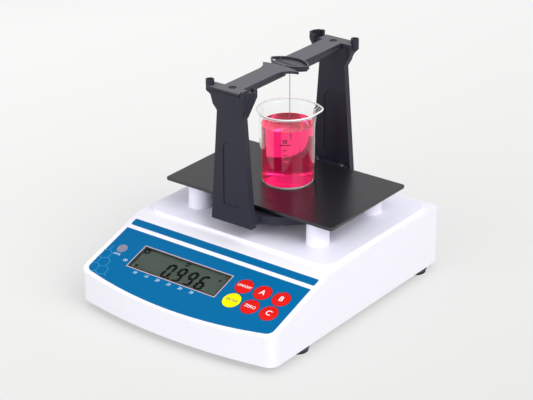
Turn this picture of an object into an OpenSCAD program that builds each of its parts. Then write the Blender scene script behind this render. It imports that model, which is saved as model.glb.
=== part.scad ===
// Benchtop density meter: an electronic balance that carries a load frame over a fixed platform.
// Units are millimetres. +Z is up, -Y is the front with the display, and the origin is on the bench
// under the middle of the whole instrument.

/* [Housing] */
// Width of the housing
body_w = 218; // [200:1:240]
// Depth of the housing, from the front face's foremost point to the back face
body_d = 268; // [255:1:290]
// Height of the flat top above the housing's lower edge
body_h = 56.4; // [50:0.2:66]
// Height of the housing's lower edge above the bench
ground_gap = 7; // [6.5:0.1:9]
// Wall thickness of the housing shell
wall_t = 2.6; // [2:0.1:3.2]
// Radius of the bulging front face, seen from above
front_r = 500; // [400:10:900]
// Radius of the upright front corners
front_corner_r = 10; // [7:0.5:14]
// Radius of the upright back corners
back_corner_r = 4; // [3.5:0.5:8]
// Horizontal length of the sloping control panel along the middle
panel_run = 94; // [90:1:98]
// Slope of the control panel in degrees
panel_angle = 18.3; // [16:0.1:20]
// Distance from the weighing axis to the housing's back face
pan_from_back = 94; // [90:1:98]
// Thickness of the bottom plate
plate_t = 2.5; // [2:0.1:3]
// Height of the housing's skirt below the bottom plate
skirt_h = 1; // [0.6:0.1:1.6]

/* [Control panel] */
// Distance from the blue label's sides to the housing's sides
label_margin = 5; // [4:0.5:9]
// Thickness of the label
label_t = 0.5; // [0.3:0.1:0.8]
// Distance down the slope from the crease to the label's upper edge
label_start = 23.5; // [22:0.5:25]
// Length of the label down the slope along the middle
label_len = 72; // [69:0.5:73]
// Radius of the label's curved lower edge
label_r = 440; // [380:10:600]
// Length of the header strip down the slope
header_len = 8; // [6:0.5:9]
// Gap between the header strip and the label
header_gap = 5; // [3:0.5:6]
// Width of the display window
window_w = 100; // [90:1:104]
// Length of the display window down the slope
window_len = 28; // [24:0.5:30]
// Distance of the display's middle to the left of the panel's middle
window_left = 20; // [18:0.5:22]
// Distance down the slope from the label's upper edge to the display's middle
window_down = 28.3; // [26:0.1:30]
// Diameter of a key
key_d = 17; // [14:0.5:17.5]
// Spacing of the keys across the panel
key_pitch_x = 20; // [19:0.5:20.5]
// Spacing of the key rows down the slope
key_pitch_s = 18.8; // [18.2:0.1:20]
// Distance of the middle column of keys to the right of the display window
key_from_window = 37.4; // [36:0.2:40]
// Distance down the slope from the label's upper edge to the first row of keys
key_down = 20.8; // [19:0.2:22]
// Travel of a key
key_travel = 0.35; // [0.2:0.05:0.4]
// Height of a key above the label
key_proud = 0.25; // [0.1:0.05:0.4]
// Clearance all round a key
key_gap = 0.3; // [0.2:0.05:0.5]
// Diameter of the spirit level's window
level_d = 9.6; // [8:0.2:11]
// Distance of the spirit level's middle to the left of the display window
level_from_window = 19.3; // [18:0.1:22]
// Distance down the slope from the label's upper edge to the spirit level
level_down = 25.6; // [24:0.2:27]

/* [Tray and platform] */
// Distance from the raised tray's sides to the housing's sides
tray_margin = 6; // [5:0.5:12]
// Distance from the panel's crease back to the tray's front edge
tray_front_gap = 5; // [2:0.5:8]
// Distance from the tray's back edge to the housing's back face
tray_back_gap = 10; // [5:1:20]
// Height of the tray above the housing's top
tray_h = 3; // [2:0.5:5]
// Radius of the tray's corners
tray_corner_r = 12; // [8:1:18]
// Height of the posts above the tray
post_h = 24.4; // [22:0.2:28]
// Diameter of a post at its top
post_d = 20; // [18:0.5:20.5]
// Spacing of the posts across the instrument
post_dx = 135; // [135:1:140]
// Spacing of the posts along the depth
post_dy = 83; // [83:1:90]
// Width of the platform
platform_w = 188; // [180:1:200]
// Depth of the platform
platform_d = 116.5; // [114:0.5:124]
// Thickness of the platform
platform_t = 3; // [2:0.5:4]
// Diameter of the pins under the platform
platform_pin_d = 6; // [4:0.5:8]

/* [Load frame] */
// Radius of the weighing pan
pan_r = 68; // [64:0.5:68.5]
// Height of the pan's rim
pan_h = 8; // [7:0.5:9]
// Gap between the pan and the platform above it
pan_gap = 2.3; // [1.5:0.1:4]
// Distance from the weighing axis to the inner face of a pillar
pillar_in = 73; // [72.5:0.1:76]
// Thickness of a pillar
pillar_t = 6.5; // [5:0.5:8]
// Width of a pillar at its foot
pillar_foot_w = 45; // [40:1:48]
// Width of a pillar at its neck
pillar_neck_w = 28.4; // [26:0.2:32]
// Height of the arms' top surface above the platform's top
arm_over = 115; // [110:1:130]
// Width of an arm's strip
arm_w = 20.4; // [18:0.2:21.4]
// Height of an arm's side skirt
arm_skirt_h = 6; // [5:0.5:7]
// Width of the front arm's fishtail end
fishtail_w = 41; // [38:1:46]
// Distance of the fishtail's middle to the right of the weighing axis
fishtail_right = 3.3; // [0:0.1:4]
// Length of the leaf-shaped dish
dish_len = 43; // [40:1:46]
// Width of the leaf-shaped dish
dish_w = 23; // [21:1:24]
// Depth of the dish's floor below its rim
dish_depth = 2.8; // [2.2:0.1:3]
// Distance of the hanger behind the weighing axis
hanger_back = 6.5; // [6:0.1:7.4]
// Distance of the dish and its hanger to the right of the weighing axis
hanger_right = 1; // [0:0.2:1.4]

/* [Hanger and beaker] */
// Diameter of the hanger wire
wire_d = 0.8; // [0.6:0.1:1]
// Diameter of the hanger's cross bar
bar_d = 0.9; // [0.8:0.1:1.1]
// Diameter of the sinker
sinker_d = 12; // [8:0.5:14]
// Length of the sinker
sinker_len = 20; // [14:1:22]
// Height of the sinker above the platform
sinker_over = 20; // [20:0.5:24]
// Outer diameter of the beaker
beaker_d = 50; // [46:1:54]
// Height of the beaker
beaker_h = 70; // [66:1:76]
// Wall thickness of the beaker
glass_t = 1.5; // [1.2:0.1:2]
// Diameter of the beaker's rim
rim_d = 57; // [55:0.5:59]
// Distance of the beaker behind the weighing axis
beaker_back = 4.5; // [3:0.5:7]
// Turn of the beaker's spout away from the right-hand side
spout_turn = 38; // [0:1:90]
// Depth of the sample in the beaker
sample_h = 54.2; // [50:0.2:58]

/* [Levelling feet] */
// Distance from the middle of a foot to the housing's side
foot_side_in = 12; // [11.5:0.5:16]
// Distance from the middle of a back foot to the housing's back face
foot_back_in = 19; // [16:1:28]
// Distance of the front feet behind the housing's foremost point
foot_front = 62; // [56:1:66]
// Diameter of a foot's knurled wheel
wheel_d = 21; // [18:0.5:21.5]
// Height of a foot's rubber pad
pad_h = 2.4; // [2:0.1:2.8]
// Diameter of the foot's thread
thread_d = 8; // [6:0.5:8]
// Radial clearance of the foot's thread in its nut
thread_gap = 0.08; // [0.02:0.01:0.1]

/* [Load cell] */
// Length of the load cell
cell_len = 110; // [100:1:120]
// Width of the load cell
cell_w = 24; // [20:1:30]
// Height of the load cell
cell_h = 20; // [16:1:22]
// Diameter of the stem that carries the pan
stem_d = 12; // [10:0.5:14]
// Running gap under the carrier, which the load cell's bending takes up
cell_gap = 0.5; // [0.4:0.05:0.6]

/* [Hidden] */
$fn = 64;
eps = 0.01;

// Levels, from the bench up
body_top = ground_gap + body_h;
plate_z = ground_gap + skirt_h;
plate_top = plate_z + plate_t;
tray_z = body_top + tray_h;
platform_z = tray_z + post_h;
platform_top = platform_z + platform_t;
pan_top = platform_z - pan_gap;
pan_z = pan_top - pan_h;
arm_top = platform_top + arm_over;
cell_base_h = 6;
cell_z = plate_top + cell_base_h;
carrier_z = cell_z + cell_h + cell_gap;
carrier_t = 4;
carrier_top = carrier_z + carrier_t;

// Places in plan
front_y = -body_d / 2;
back_y = body_d / 2;
pan_y = back_y - pan_from_back;
crease_y = front_y + panel_run;
tray_front_y = crease_y + tray_front_gap;
tray_back_y = back_y - tray_back_gap;
window_s = label_start + window_down;
level_s = label_start + level_down;
level_left = window_left + window_w / 2 + level_from_window;
key_right = window_w / 2 - window_left + key_from_window;
label_w = body_w - 2 * label_margin;
tray_w = body_w - 2 * tray_margin;
foot_x = body_w / 2 - foot_side_in;
foot_front_y = front_y + foot_front;
foot_back_y = back_y - foot_back_in;
foot_places = [
    [-foot_x, foot_front_y], [foot_x, foot_front_y], [-foot_x, foot_back_y], [foot_x, foot_back_y]
];
boss_x = body_w / 2 - 11;
key_first_s = label_start + key_down;
housing_boss_places = [
    [-boss_x, front_y + 30], [boss_x, front_y + 30], [-boss_x, pan_y - 20], [boss_x, pan_y - 20],
    [-boss_x + 28, back_y - 11], [boss_x - 28, back_y - 11]
];

// Fasteners: shank diameter, head diameter and head height
small_screw = [2.9, 5.4, 1.8];
m3_screw = [3, 5.6, 1.6];
m5_bolt = [5, 8.5, 5];
pilot_gap = 0.1;

// ---------- shared shapes ----------

module on_panel() {
    translate([0, crease_y, body_top]) rotate([panel_angle, 0, 0]) children();
}

// A rectangle with round corners, centred, made of true arcs
module round_rect(w, d, r) {
    square([w, d - 2 * r], center = true);
    square([w - 2 * r, d], center = true);
    for (x = [-1, 1], y = [-1, 1])
        translate([x * (w / 2 - r), y * (d / 2 - r)]) circle(r = r);
}

// The housing seen from above, drawn in from its outer face by inset
module body_plan(inset) {
    corner_x = body_w / 2 - front_corner_r;
    arc_y = front_y + front_r;
    corner_y = arc_y - sqrt(pow(front_r - front_corner_r, 2) - pow(corner_x, 2));
    back_r = back_corner_r - inset;
    half_w = body_w / 2 - inset;
    difference() {
        intersection() {
            translate([-half_w, front_y]) square([2 * half_w, body_d - inset]);
            translate([0, arc_y]) circle(r = front_r - inset, $fn = 360);
        }
        for (side = [-1, 1]) {
            difference() {
                translate([side * (corner_x + 20), corner_y - 20]) square(40, center = true);
                translate([side * corner_x, corner_y]) circle(r = front_corner_r - inset);
                translate([side * (corner_x - 30), corner_y - 20])
                    rotate(side * asin(corner_x / (front_r - front_corner_r))) square([60, 60], center = true);
            }
            difference() {
                translate([side * (half_w - back_r + 5), back_y - inset - back_r + 5]) square(10, center = true);
                translate([side * (half_w - back_r), back_y - inset - back_r]) circle(r = back_r);
            }
        }
    }
}

// The housing seen from the side, extruded across its width
module body_profile(inset, low) {
    rise = tan(panel_angle);
    top = body_top - inset;
    // An inset slope meets the inset top a little further forward
    crease = crease_y + inset * tan(panel_angle / 2);
    reach = panel_run + 20;
    rotate([90, 0, 90])
        linear_extrude(body_w + 20, center = true)
            polygon([
                [crease - reach, low], [crease - reach, top - reach * rise], [crease, top],
                [back_y + 1, top], [back_y + 1, low]
            ]);
}

module body_solid(inset, low) {
    intersection() {
        translate([0, 0, low]) linear_extrude(body_top - low) body_plan(inset);
        body_profile(inset, low - 1);
    }
}

// A pan-head screw that points up, with its head's bearing face at z = 0
module screw_up(kind, length) {
    translate([0, 0, -kind[2]]) cylinder(d = kind[1], h = kind[2]);
    translate([0, 0, -eps]) cylinder(d = kind[0], h = length + eps);
}

module at_posts() {
    for (x = [-1, 1], y = [-1, 1])
        translate([x * post_dx / 2, pan_y + y * post_dy / 2, 0]) children();
}

// ---------- housing ----------

boss_d = 8;
boss_bottom = plate_top + 0.2;
stem_hole_d = stem_d + 14;
key_pocket_depth = 1.4;
key_pocket_margin = 3;
key_pocket_w = 2 * key_pitch_x + key_d + 2 * key_pocket_margin;
key_pocket_len = key_pitch_s + key_d + 2 * key_pocket_margin;
window_lip = 3;
window_t = 1.2;
lcd_post_d = 6;
lcd_post_x = window_w / 2 + window_lip + lcd_post_d / 2 + 0.4;
lcd_post_s = window_len / 2 + window_lip + lcd_post_d / 2 + 1.6;
lcd_depth = 4.6;
level_hole_d = level_d + 0.8;
level_window_t = 1;
inlet_x = body_w / 2 - 47;
port_x = body_w / 2 - 89;
rear_z = plate_top + 14;
inlet_d = 11;
port_w = 31;
port_h = 11;

module key_pocket(depth) {
    translate([key_right, -(key_first_s + key_pitch_s / 2), -depth])
        linear_extrude(depth + 1) round_rect(key_pocket_w, key_pocket_len, 3);
}

module lcd_posts(d, from, to) {
    for (x = [-1, 1], s = [-1, 1])
        translate([-window_left + x * lcd_post_x, -(window_s + s * lcd_post_s), from])
            cylinder(d = d, h = to - from);
}

module upper_housing() {
    color("whitesmoke") difference() {
        union() {
            difference() {
                body_solid(0, ground_gap);
                difference() {
                    body_solid(wall_t, ground_gap - 1);
                    // A thicker floor under the keys carries the key circuit
                    on_panel() translate([0, 0, -wall_t - 1]) key_pocket(0);
                }
            }
            intersection() {
                body_solid(wall_t / 2, ground_gap);
                for (p = housing_boss_places)
                    translate([p[0], p[1], boss_bottom]) cylinder(d = boss_d, h = body_top);
            }
            on_panel() lcd_posts(lcd_post_d, -wall_t - lcd_depth, -wall_t / 2);
        }
        for (p = housing_boss_places)
            translate([p[0], p[1], boss_bottom - 1]) cylinder(d = small_screw[0] + 2 * pilot_gap, h = 9);
        on_panel() {
            lcd_posts(small_screw[0] + 2 * pilot_gap, -wall_t - lcd_depth - 1, -wall_t);
            key_pocket(key_pocket_depth);
            // Way through for the key circuit's tail
            translate([key_right, -(key_first_s - 12), -6]) cube([14, 1.6, 12], center = true);
            translate([-window_left, -window_s, -10]) {
                linear_extrude(20) square([window_w, window_len], center = true);
                translate([0, 0, 10 - window_t])
                    linear_extrude(5) square([window_w + 2 * window_lip, window_len + 2 * window_lip], center = true);
            }
            translate([-level_left, -level_s, -10]) cylinder(d = level_d - 0.6, h = 20);
            translate([-level_left, -level_s, -level_window_t]) cylinder(d = level_hole_d, h = 10);
        }
        translate([0, pan_y, body_top - 10]) cylinder(d = stem_hole_d, h = 20);
        at_posts() translate([0, 0, body_top - 5]) cylinder(d = small_screw[0] + 0.5, h = 10);
        translate([inlet_x, back_y + 5, rear_z]) rotate([90, 0, 0]) cylinder(d = inlet_d + 0.4, h = 20);
        translate([port_x, back_y, rear_z]) cube([port_w + 0.4, 20, port_h + 0.4], center = true);
    }
}

foot_boss_d = 17;
nut_d = 13;
nut_z = plate_z;
nut_h = 11;
foot_boss_h = nut_h - plate_t;
cell_fixed_y = pan_y + cell_len / 2;
cell_bolt_x = 6;
cell_bolt_y = [cell_fixed_y - 8, cell_fixed_y - 24];
cell_base_len = 32;
board_standoff_d = 6;
board_screw_len = 5;
deep = 30;
board_size = [62, 52, 1.6];
board_at = [body_w / 2 - 59, back_y - wall_t - 39];
board_standoff_h = 5;
board_z = plate_top + board_standoff_h;
board_hole = [26, 21];

module at_board_holes() {
    for (x = [-1, 1], y = [-1, 1])
        translate([board_at[0] + x * board_hole[0], board_at[1] + y * board_hole[1], 0]) children();
}

module bottom_plate() {
    color("lightgray") difference() {
        union() {
            translate([0, 0, plate_z]) linear_extrude(plate_t) body_plan(wall_t + 0.3);
            for (p = foot_places)
                translate([p[0], p[1], plate_z]) cylinder(d = foot_boss_d, h = plate_t + foot_boss_h);
            at_board_holes() translate([0, 0, plate_top - eps]) cylinder(d = board_standoff_d, h = board_standoff_h + eps);
        }
        for (p = foot_places)
            translate([p[0], p[1], plate_z - 1]) cylinder(d = nut_d, h = deep);
        for (p = housing_boss_places)
            translate([p[0], p[1], plate_z - 1]) cylinder(d = small_screw[0] + 0.5, h = 10);
        for (x = [-1, 1], y = cell_bolt_y)
            translate([x * cell_bolt_x, y, plate_z - 1]) cylinder(d = m5_bolt[0] + 0.4, h = 10);
        at_board_holes() translate([0, 0, plate_top]) cylinder(d = small_screw[0], h = deep);
    }
}

housing_screw_bite = 8;

module housing_screws() {
    color("silver")
        for (p = housing_boss_places)
            translate([p[0], p[1], plate_z]) screw_up(small_screw, plate_t + housing_screw_bite);
}

// ---------- tray, posts and platform ----------

tray_d = tray_back_y - tray_front_y;
collar_h = 5;
collar_t = 2.5;
stem_bore_d = stem_d + 8;
stem_fit = 0.1;
stem_socket_h = 4;
pin_socket_d = platform_pin_d + 0.6;
pin_len = 6;
post_taper = 0.7;
post_toe = 0.8;

module top_tray() {
    color("white") difference() {
        union() {
            translate([0, (tray_front_y + tray_back_y) / 2, body_top])
                linear_extrude(tray_h) round_rect(tray_w, tray_d, tray_corner_r);
            translate([0, pan_y, body_top]) cylinder(d = stem_bore_d + 2 * collar_t, h = tray_h + collar_h);
        }
        translate([0, pan_y, body_top - 1]) cylinder(d = stem_bore_d, h = 20);
        at_posts() translate([0, 0, body_top - 1]) cylinder(d = small_screw[0] + 0.5, h = 10);
    }
}

module platform_posts() {
    color("white")
        at_posts() difference() {
            translate([0, 0, tray_z])
                rotate_extrude() polygon([
                    [0, 0], [post_d / 2 + post_taper + post_toe, 0], [post_d / 2 + post_taper, post_toe],
                    [post_d / 2, post_h], [0, post_h]
                ]);
            translate([0, 0, platform_z - pin_len - 0.6]) cylinder(d = pin_socket_d, h = pin_len + 1);
            translate([0, 0, tray_z - 1]) cylinder(d = small_screw[0] + 2 * pilot_gap, h = 9);
        }
}

module tray_screws() {
    color("silver")
        at_posts() translate([0, 0, body_top - wall_t]) screw_up(small_screw, wall_t + tray_h + 7);
}

module platform() {
    color("dimgray")
        translate([0, pan_y, platform_z]) linear_extrude(platform_t) round_rect(platform_w, platform_d, 2.5);
}

module platform_pins() {
    color("silver")
        at_posts() translate([0, 0, platform_z - pin_len]) cylinder(d = platform_pin_d, h = pin_len);
}

// ---------- control panel ----------

label_corner_r = 7;
header_s = label_start - header_gap - header_len;

// The label: straight above, curved below, with round lower corners
module label_plan() {
    arc_y = -(label_start + label_len) + label_r;
    corner_x = label_w / 2 - label_corner_r;
    corner_y = arc_y - sqrt(pow(label_r - label_corner_r, 2) - pow(corner_x, 2));
    difference() {
        intersection() {
            translate([-label_w / 2, -(label_start + label_len)]) square([label_w, label_len]);
            translate([0, arc_y]) circle(r = label_r, $fn = 360);
        }
        for (side = [-1, 1])
            difference() {
                translate([side * (corner_x + 15), corner_y - 15]) square(30, center = true);
                translate([side * corner_x, corner_y]) circle(r = label_corner_r);
                translate([side * (corner_x - 30), corner_y - 20])
                    rotate(side * asin(corner_x / (label_r - label_corner_r))) square([60, 60], center = true);
            }
    }
}

module panel_label() {
    color("royalblue")
        on_panel() linear_extrude(label_t) difference() {
            label_plan();
            translate([-window_left, -window_s]) square([window_w, window_len], center = true);
            for (column = [-1, 0, 1], row = [0, 1])
                translate([key_right + column * key_pitch_x, -(key_first_s + row * key_pitch_s)])
                    circle(d = key_d + 2 * key_gap);
            translate([-level_left, -level_s]) circle(d = level_hole_d);
        }
}

module header_strip() {
    color("royalblue")
        on_panel() translate([0, -(header_s + header_len / 2), 0])
            linear_extrude(label_t) round_rect(label_w, header_len, 1.5);
}

module display_window() {
    color("lightsteelblue", 0.5)
        on_panel() translate([-window_left, -window_s, -window_t])
            linear_extrude(window_t)
                square([window_w + 2 * window_lip - 0.2, window_len + 2 * window_lip - 0.2], center = true);
}

bezel_w = window_w + 10;
bezel_len = window_len + 8;
lcd_glass_t = 2.8;
lcd_front_gap = 0.1;

module display_bezel() {
    color("dimgray")
        on_panel() translate([-window_left, -window_s, -wall_t - lcd_depth])
            difference() {
                linear_extrude(lcd_depth) square([bezel_w, bezel_len], center = true);
                translate([0, 0, -1]) linear_extrude(lcd_depth + 2) square([window_w, window_len], center = true);
                translate([0, 0, -1])
                    linear_extrude(lcd_glass_t + 1) square([window_w + 6, window_len + 4], center = true);
            }
}

// A wide back part that the bezel holds, and a front part that reaches up to the window
module display_glass() {
    color("darkseagreen")
        on_panel() translate([-window_left, -window_s, -wall_t - lcd_depth]) {
            linear_extrude(lcd_glass_t - 0.05) square([window_w + 5.8, window_len + 3.8], center = true);
            linear_extrude(wall_t + lcd_depth - window_t - lcd_front_gap)
                square([window_w - 0.6, window_len - 0.6], center = true);
        }
}

lcd_board_t = 1.6;

module display_board() {
    color("seagreen")
        on_panel() difference() {
            translate([-window_left, -window_s, -wall_t - lcd_depth - lcd_board_t])
                linear_extrude(lcd_board_t)
                    square([2 * lcd_post_x + 8, 2 * lcd_post_s + 8], center = true);
            lcd_posts(small_screw[0] + 0.3, -20, 0);
        }
}

module display_screws() {
    color("silver")
        on_panel()
            for (x = [-1, 1], s = [-1, 1])
                translate([
                    -window_left + x * lcd_post_x, -(window_s + s * lcd_post_s), -wall_t - lcd_depth - lcd_board_t
                ]) screw_up(small_screw, lcd_board_t + lcd_depth - 0.4);
}

circuit_t = 0.4;
dome_h = 0.25;
dome_d = 9;
key_bottom = -key_pocket_depth + circuit_t + dome_h + key_travel + 0.05;
key_t = label_t + key_proud - key_bottom;
key_chamfer = 0.15;

// A printed key: a disc with a chamfered top edge
module key(column, row) {
    on_panel()
        translate([key_right + column * key_pitch_x, -(key_first_s + row * key_pitch_s), key_bottom])
            rotate_extrude() polygon([
                [0, 0], [key_d / 2, 0], [key_d / 2, key_t - key_chamfer],
                [key_d / 2 - 2 * key_chamfer, key_t], [0, key_t]
            ]);
}

module key_on_off() {
    color("red") key(-1, 0);
}

module key_a() {
    color("red") key(0, 0);
}

module key_b() {
    color("red") key(1, 0);
}

module key_enter() {
    color("yellow") key(-1, 1);
}

module key_zero() {
    color("red") key(0, 1);
}

module key_c() {
    color("red") key(1, 1);
}

module key_circuit() {
    color("gainsboro")
        on_panel() translate([key_right, -(key_first_s + key_pitch_s / 2), -key_pocket_depth])
            linear_extrude(circuit_t) round_rect(key_pocket_w - 0.6, key_pocket_len - 0.6, 2.7);
}

module key_domes() {
    color("silver")
        on_panel()
            for (column = [-1, 0, 1], row = [0, 1])
                translate([
                    key_right + column * key_pitch_x, -(key_first_s + row * key_pitch_s),
                    -key_pocket_depth + circuit_t
                ]) cylinder(d1 = dome_d, d2 = dome_d - 3, h = dome_h);
}

// ---------- spirit level ----------

level_cup_d = level_d + 6;
level_drop = 9.4;
vial_d = level_d + 2.4;
vial_h = 5.2;

module level_place() {
    slope_y = crease_y - level_s * cos(panel_angle);
    slope_z = body_top - level_s * sin(panel_angle);
    translate([-level_left, slope_y, slope_z - level_drop - wall_t]) children();
}

module level_window() {
    color("silver", 0.6)
        on_panel() translate([-level_left, -level_s, -level_window_t])
            cylinder(d = level_hole_d - 0.2, h = level_window_t + label_t);
}

// The cup hangs from the panel's inside and holds the vial upright
module level_cup() {
    color("white") difference() {
        intersection() {
            level_place() cylinder(d = level_cup_d, h = 30);
            on_panel() translate([-level_left, -level_s, -wall_t - 30]) cylinder(d = 2 * level_cup_d, h = 30);
        }
        level_place() translate([0, 0, 1.5]) cylinder(d = vial_d + 0.1, h = 30);
    }
}

module level_vial() {
    color("palegreen", 0.7)
        level_place() translate([0, 0, 1.5]) difference() {
            cylinder(d = vial_d, h = vial_h);
            // The bubble at the top of the vial
            translate([0, 0, vial_h - 1.2]) cylinder(d = 3.4, h = 2);
        }
}

// ---------- load cell and electronics ----------

module cell_base() {
    color("silver") difference() {
        translate([-cell_w / 2, cell_fixed_y - cell_base_len, plate_top]) cube([cell_w, cell_base_len, cell_base_h]);
        for (x = [-1, 1], y = cell_bolt_y)
            translate([x * cell_bolt_x, y, plate_top - 1]) cylinder(d = m5_bolt[0] + 0.4, h = 20);
    }
}

module load_cell() {
    web_d = cell_h - 6;
    color("lightgray") difference() {
        translate([-cell_w / 2, pan_y - cell_len / 2, cell_z]) cube([cell_w, cell_len, cell_h]);
        // Two bores and the slot between them leave the thin bending webs
        for (y = [-1, 1])
            translate([-cell_w, pan_y + y * 14, cell_z + cell_h / 2]) rotate([0, 90, 0]) cylinder(d = web_d, h = 2 * cell_w);
        translate([0, pan_y, cell_z + cell_h / 2]) cube([2 * cell_w, 28, 5], center = true);
        for (x = [-1, 1], y = cell_bolt_y)
            translate([x * cell_bolt_x, y, cell_z - 1]) cylinder(d = m5_bolt[0] + 0.1, h = 13);
    }
}

module cell_bolts() {
    color("dimgray")
        for (x = [-1, 1], y = cell_bolt_y)
            translate([x * cell_bolt_x, y, plate_z]) screw_up([m5_bolt[0], m5_bolt[1], 2.6], plate_t + cell_base_h + 10);
}

module pan_carrier() {
    free_y = pan_y - cell_len / 2;
    color("silver") union() {
        translate([-cell_w / 2, free_y + 2, carrier_z]) cube([cell_w, cell_base_len - 6, carrier_t]);
        translate([-cell_w / 2, free_y + 2, carrier_z + 1.5])
            cube([cell_w, cell_len / 2 - 2 + cell_w / 2, carrier_t - 1.5]);
        translate([0, pan_y, carrier_top - eps]) cylinder(d = stem_d, h = pan_z + stem_socket_h - carrier_top + eps);
    }
}

module main_board() {
    color("seagreen") difference() {
        union() {
            translate([board_at[0], board_at[1], board_z + board_size[2] / 2]) cube(board_size, center = true);
            translate([board_at[0] - 8, board_at[1] - 4, board_z + board_size[2]]) {
                translate([-8, -8, -eps]) cube([16, 16, 2]);
                translate([16, -6, -eps]) cube([10, 14, 3]);
                translate([-16, 8, -eps]) cylinder(d = 6, h = 9);
            }
        }
        at_board_holes() translate([0, 0, board_z - 1]) cylinder(d = small_screw[0] + 0.3, h = 10);
    }
}

module board_screws() {
    color("silver")
        at_board_holes() translate([0, 0, board_z + board_size[2]]) mirror([0, 0, 1]) screw_up(small_screw, board_screw_len);
}

module dc_inlet() {
    color("dimgray")
        translate([inlet_x, back_y - 0.4, rear_z]) rotate([90, 0, 0]) difference() {
            union() {
                cylinder(d = inlet_d, h = 14);
                translate([0, 0, wall_t]) cylinder(d = inlet_d + 4, h = 2);
            }
            difference() {
                translate([0, 0, -1]) cylinder(d = 6.3, h = 11);
                translate([0, 0, -1]) cylinder(d = 2, h = 11);
            }
        }
}

module data_port() {
    color("silver")
        translate([port_x, back_y - 0.4, rear_z]) rotate([90, 0, 0]) difference() {
            union() {
                translate([0, 0, 6]) cube([port_w, port_h, 12], center = true);
                translate([0, 0, wall_t + 1]) cube([port_w + 6, port_h + 4, 1.6], center = true);
            }
            translate([0, 0, 0.5]) cube([port_w - 12, port_h - 3.4, 12], center = true);
        }
}

// ---------- levelling feet ----------

pad_stub_d = 4;
pad_stub_h = 2.2;
wheel_z = pad_h + 0.1;
wheel_h = 3.3;
shoulder_d = 11.5;
shoulder_gap = 0.3;
stem_top = nut_z + nut_h + 3;
wheel_notches = 20;

module foot_nuts() {
    color("gold")
        for (p = foot_places)
            translate([p[0], p[1], nut_z]) difference() {
                cylinder(d = nut_d, h = nut_h);
                translate([0, 0, -1]) cylinder(d = thread_d + 2 * thread_gap, h = nut_h + 2);
            }
}

module foot_pad(place) {
    color("dimgray") translate([place[0], place[1], 0]) {
        cylinder(d = wheel_d - 1.5, h = pad_h);
        cylinder(d = pad_stub_d, h = pad_h + pad_stub_h);
    }
}

module foot_screw(place) {
    color("gray") translate([place[0], place[1], 0]) difference() {
        union() {
            translate([0, 0, wheel_z]) cylinder(d = wheel_d, h = wheel_h);
            translate([0, 0, wheel_z]) cylinder(d = thread_d, h = stem_top - wheel_z);
            // Shoulder that stops under the nut when the foot is screwed right in
            translate([0, 0, wheel_z]) cylinder(d = shoulder_d, h = nut_z - shoulder_gap - wheel_z);
        }
        translate([0, 0, wheel_z - 1]) cylinder(d = pad_stub_d + 0.2, h = pad_stub_h + 1.4);
        for (i = [0:wheel_notches - 1])
            rotate(i * 360 / wheel_notches) translate([wheel_d / 2 + 0.5, 0, wheel_z - 1]) cylinder(r = 1.1, h = 8, $fn = 24);
    }
}

module foot_pad_1() {
    foot_pad(foot_places[0]);
}

module foot_pad_2() {
    foot_pad(foot_places[1]);
}

module foot_pad_3() {
    foot_pad(foot_places[2]);
}

module foot_pad_4() {
    foot_pad(foot_places[3]);
}

module foot_screw_1() {
    foot_screw(foot_places[0]);
}

module foot_screw_2() {
    foot_screw(foot_places[1]);
}

module foot_screw_3() {
    foot_screw(foot_places[2]);
}

module foot_screw_4() {
    foot_screw(foot_places[3]);
}

// ---------- load frame ----------

pan_plate_t = 3.5;
pan_rim_t = 2.5;
tab_w = 40;
tab_in = 12;
tab_h = pan_h - pan_plate_t;
pillar_screw_x = 14;
pillar_screw_y = pillar_in - 4;
arm_plate_t = 2.4;
arm_seat = arm_top - 2.6;
head_front = pillar_in + 13;
bar_mid = pillar_in + 6;
bar_half = 6;
bar_end = 15;
ear_x = 19.3;
ear_in_r = bar_half + 0.1;
ear_t = 2.6;
ear_over = 3;
ear_ridge_r = 0.75;
ear_ridges = [-66, -40, -14, 12, 38, 64];
tube_x = 20.8;
tube_y = pillar_in + 7;
tube_d = 7.6;
tube_over = 4.7;
tube_low = arm_top - 5.2;
arm_screw_y = pillar_in + 2;
neck_z = arm_top - 22.5;
flare_z = arm_top - 3;
head_lip_z = arm_top - 6;
plate_flare = [21.3, arm_top - 8.8];
head_flare = [17, arm_top - 16.6];
arch_w = 17;
arch_top = platform_top + 65.7;
arch_low = platform_top + 4;
arch_depth = 0.8;

// Both halves of the load frame are drawn at the front, with the weighing axis at the origin
module at_front() {
    translate([0, pan_y, 0]) children();
}

module at_rear() {
    translate([0, pan_y, 0]) rotate(180) children();
}

module pan() {
    color("darkslategray") at_front() difference() {
        union() {
            translate([0, 0, pan_z]) cylinder(r = pan_r, h = pan_h, $fn = 180);
            // Ears that the pillars' feet are screwed to
            for (side = [-1, 1])
                translate([-tab_w / 2, side * (pillar_in - 0.3 - 8) - 8, pan_top - pan_plate_t])
                    cube([tab_w, 16, pan_plate_t]);
        }
        difference() {
            translate([0, 0, pan_z - 1]) cylinder(r = pan_r - pan_rim_t, h = tab_h + 1, $fn = 180);
            translate([0, 0, pan_z - 2]) cylinder(d = stem_d + 10, h = pan_h);
        }
        translate([0, 0, pan_z - 1]) cylinder(d = stem_d + 2 * stem_fit, h = stem_socket_h + 1);
        for (side = [-1, 1])
            translate([-tab_w / 2 - 0.1, side * (pan_r - 3) - 8, pan_z - 1]) cube([tab_w + 0.2, 16, tab_h + 1]);
        for (x = [-1, 1], side = [-1, 1])
            translate([x * pillar_screw_x, side * pillar_screw_y, pan_z]) cylinder(d = m3_screw[0] + 0.4, h = 20);
    }
}

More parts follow.
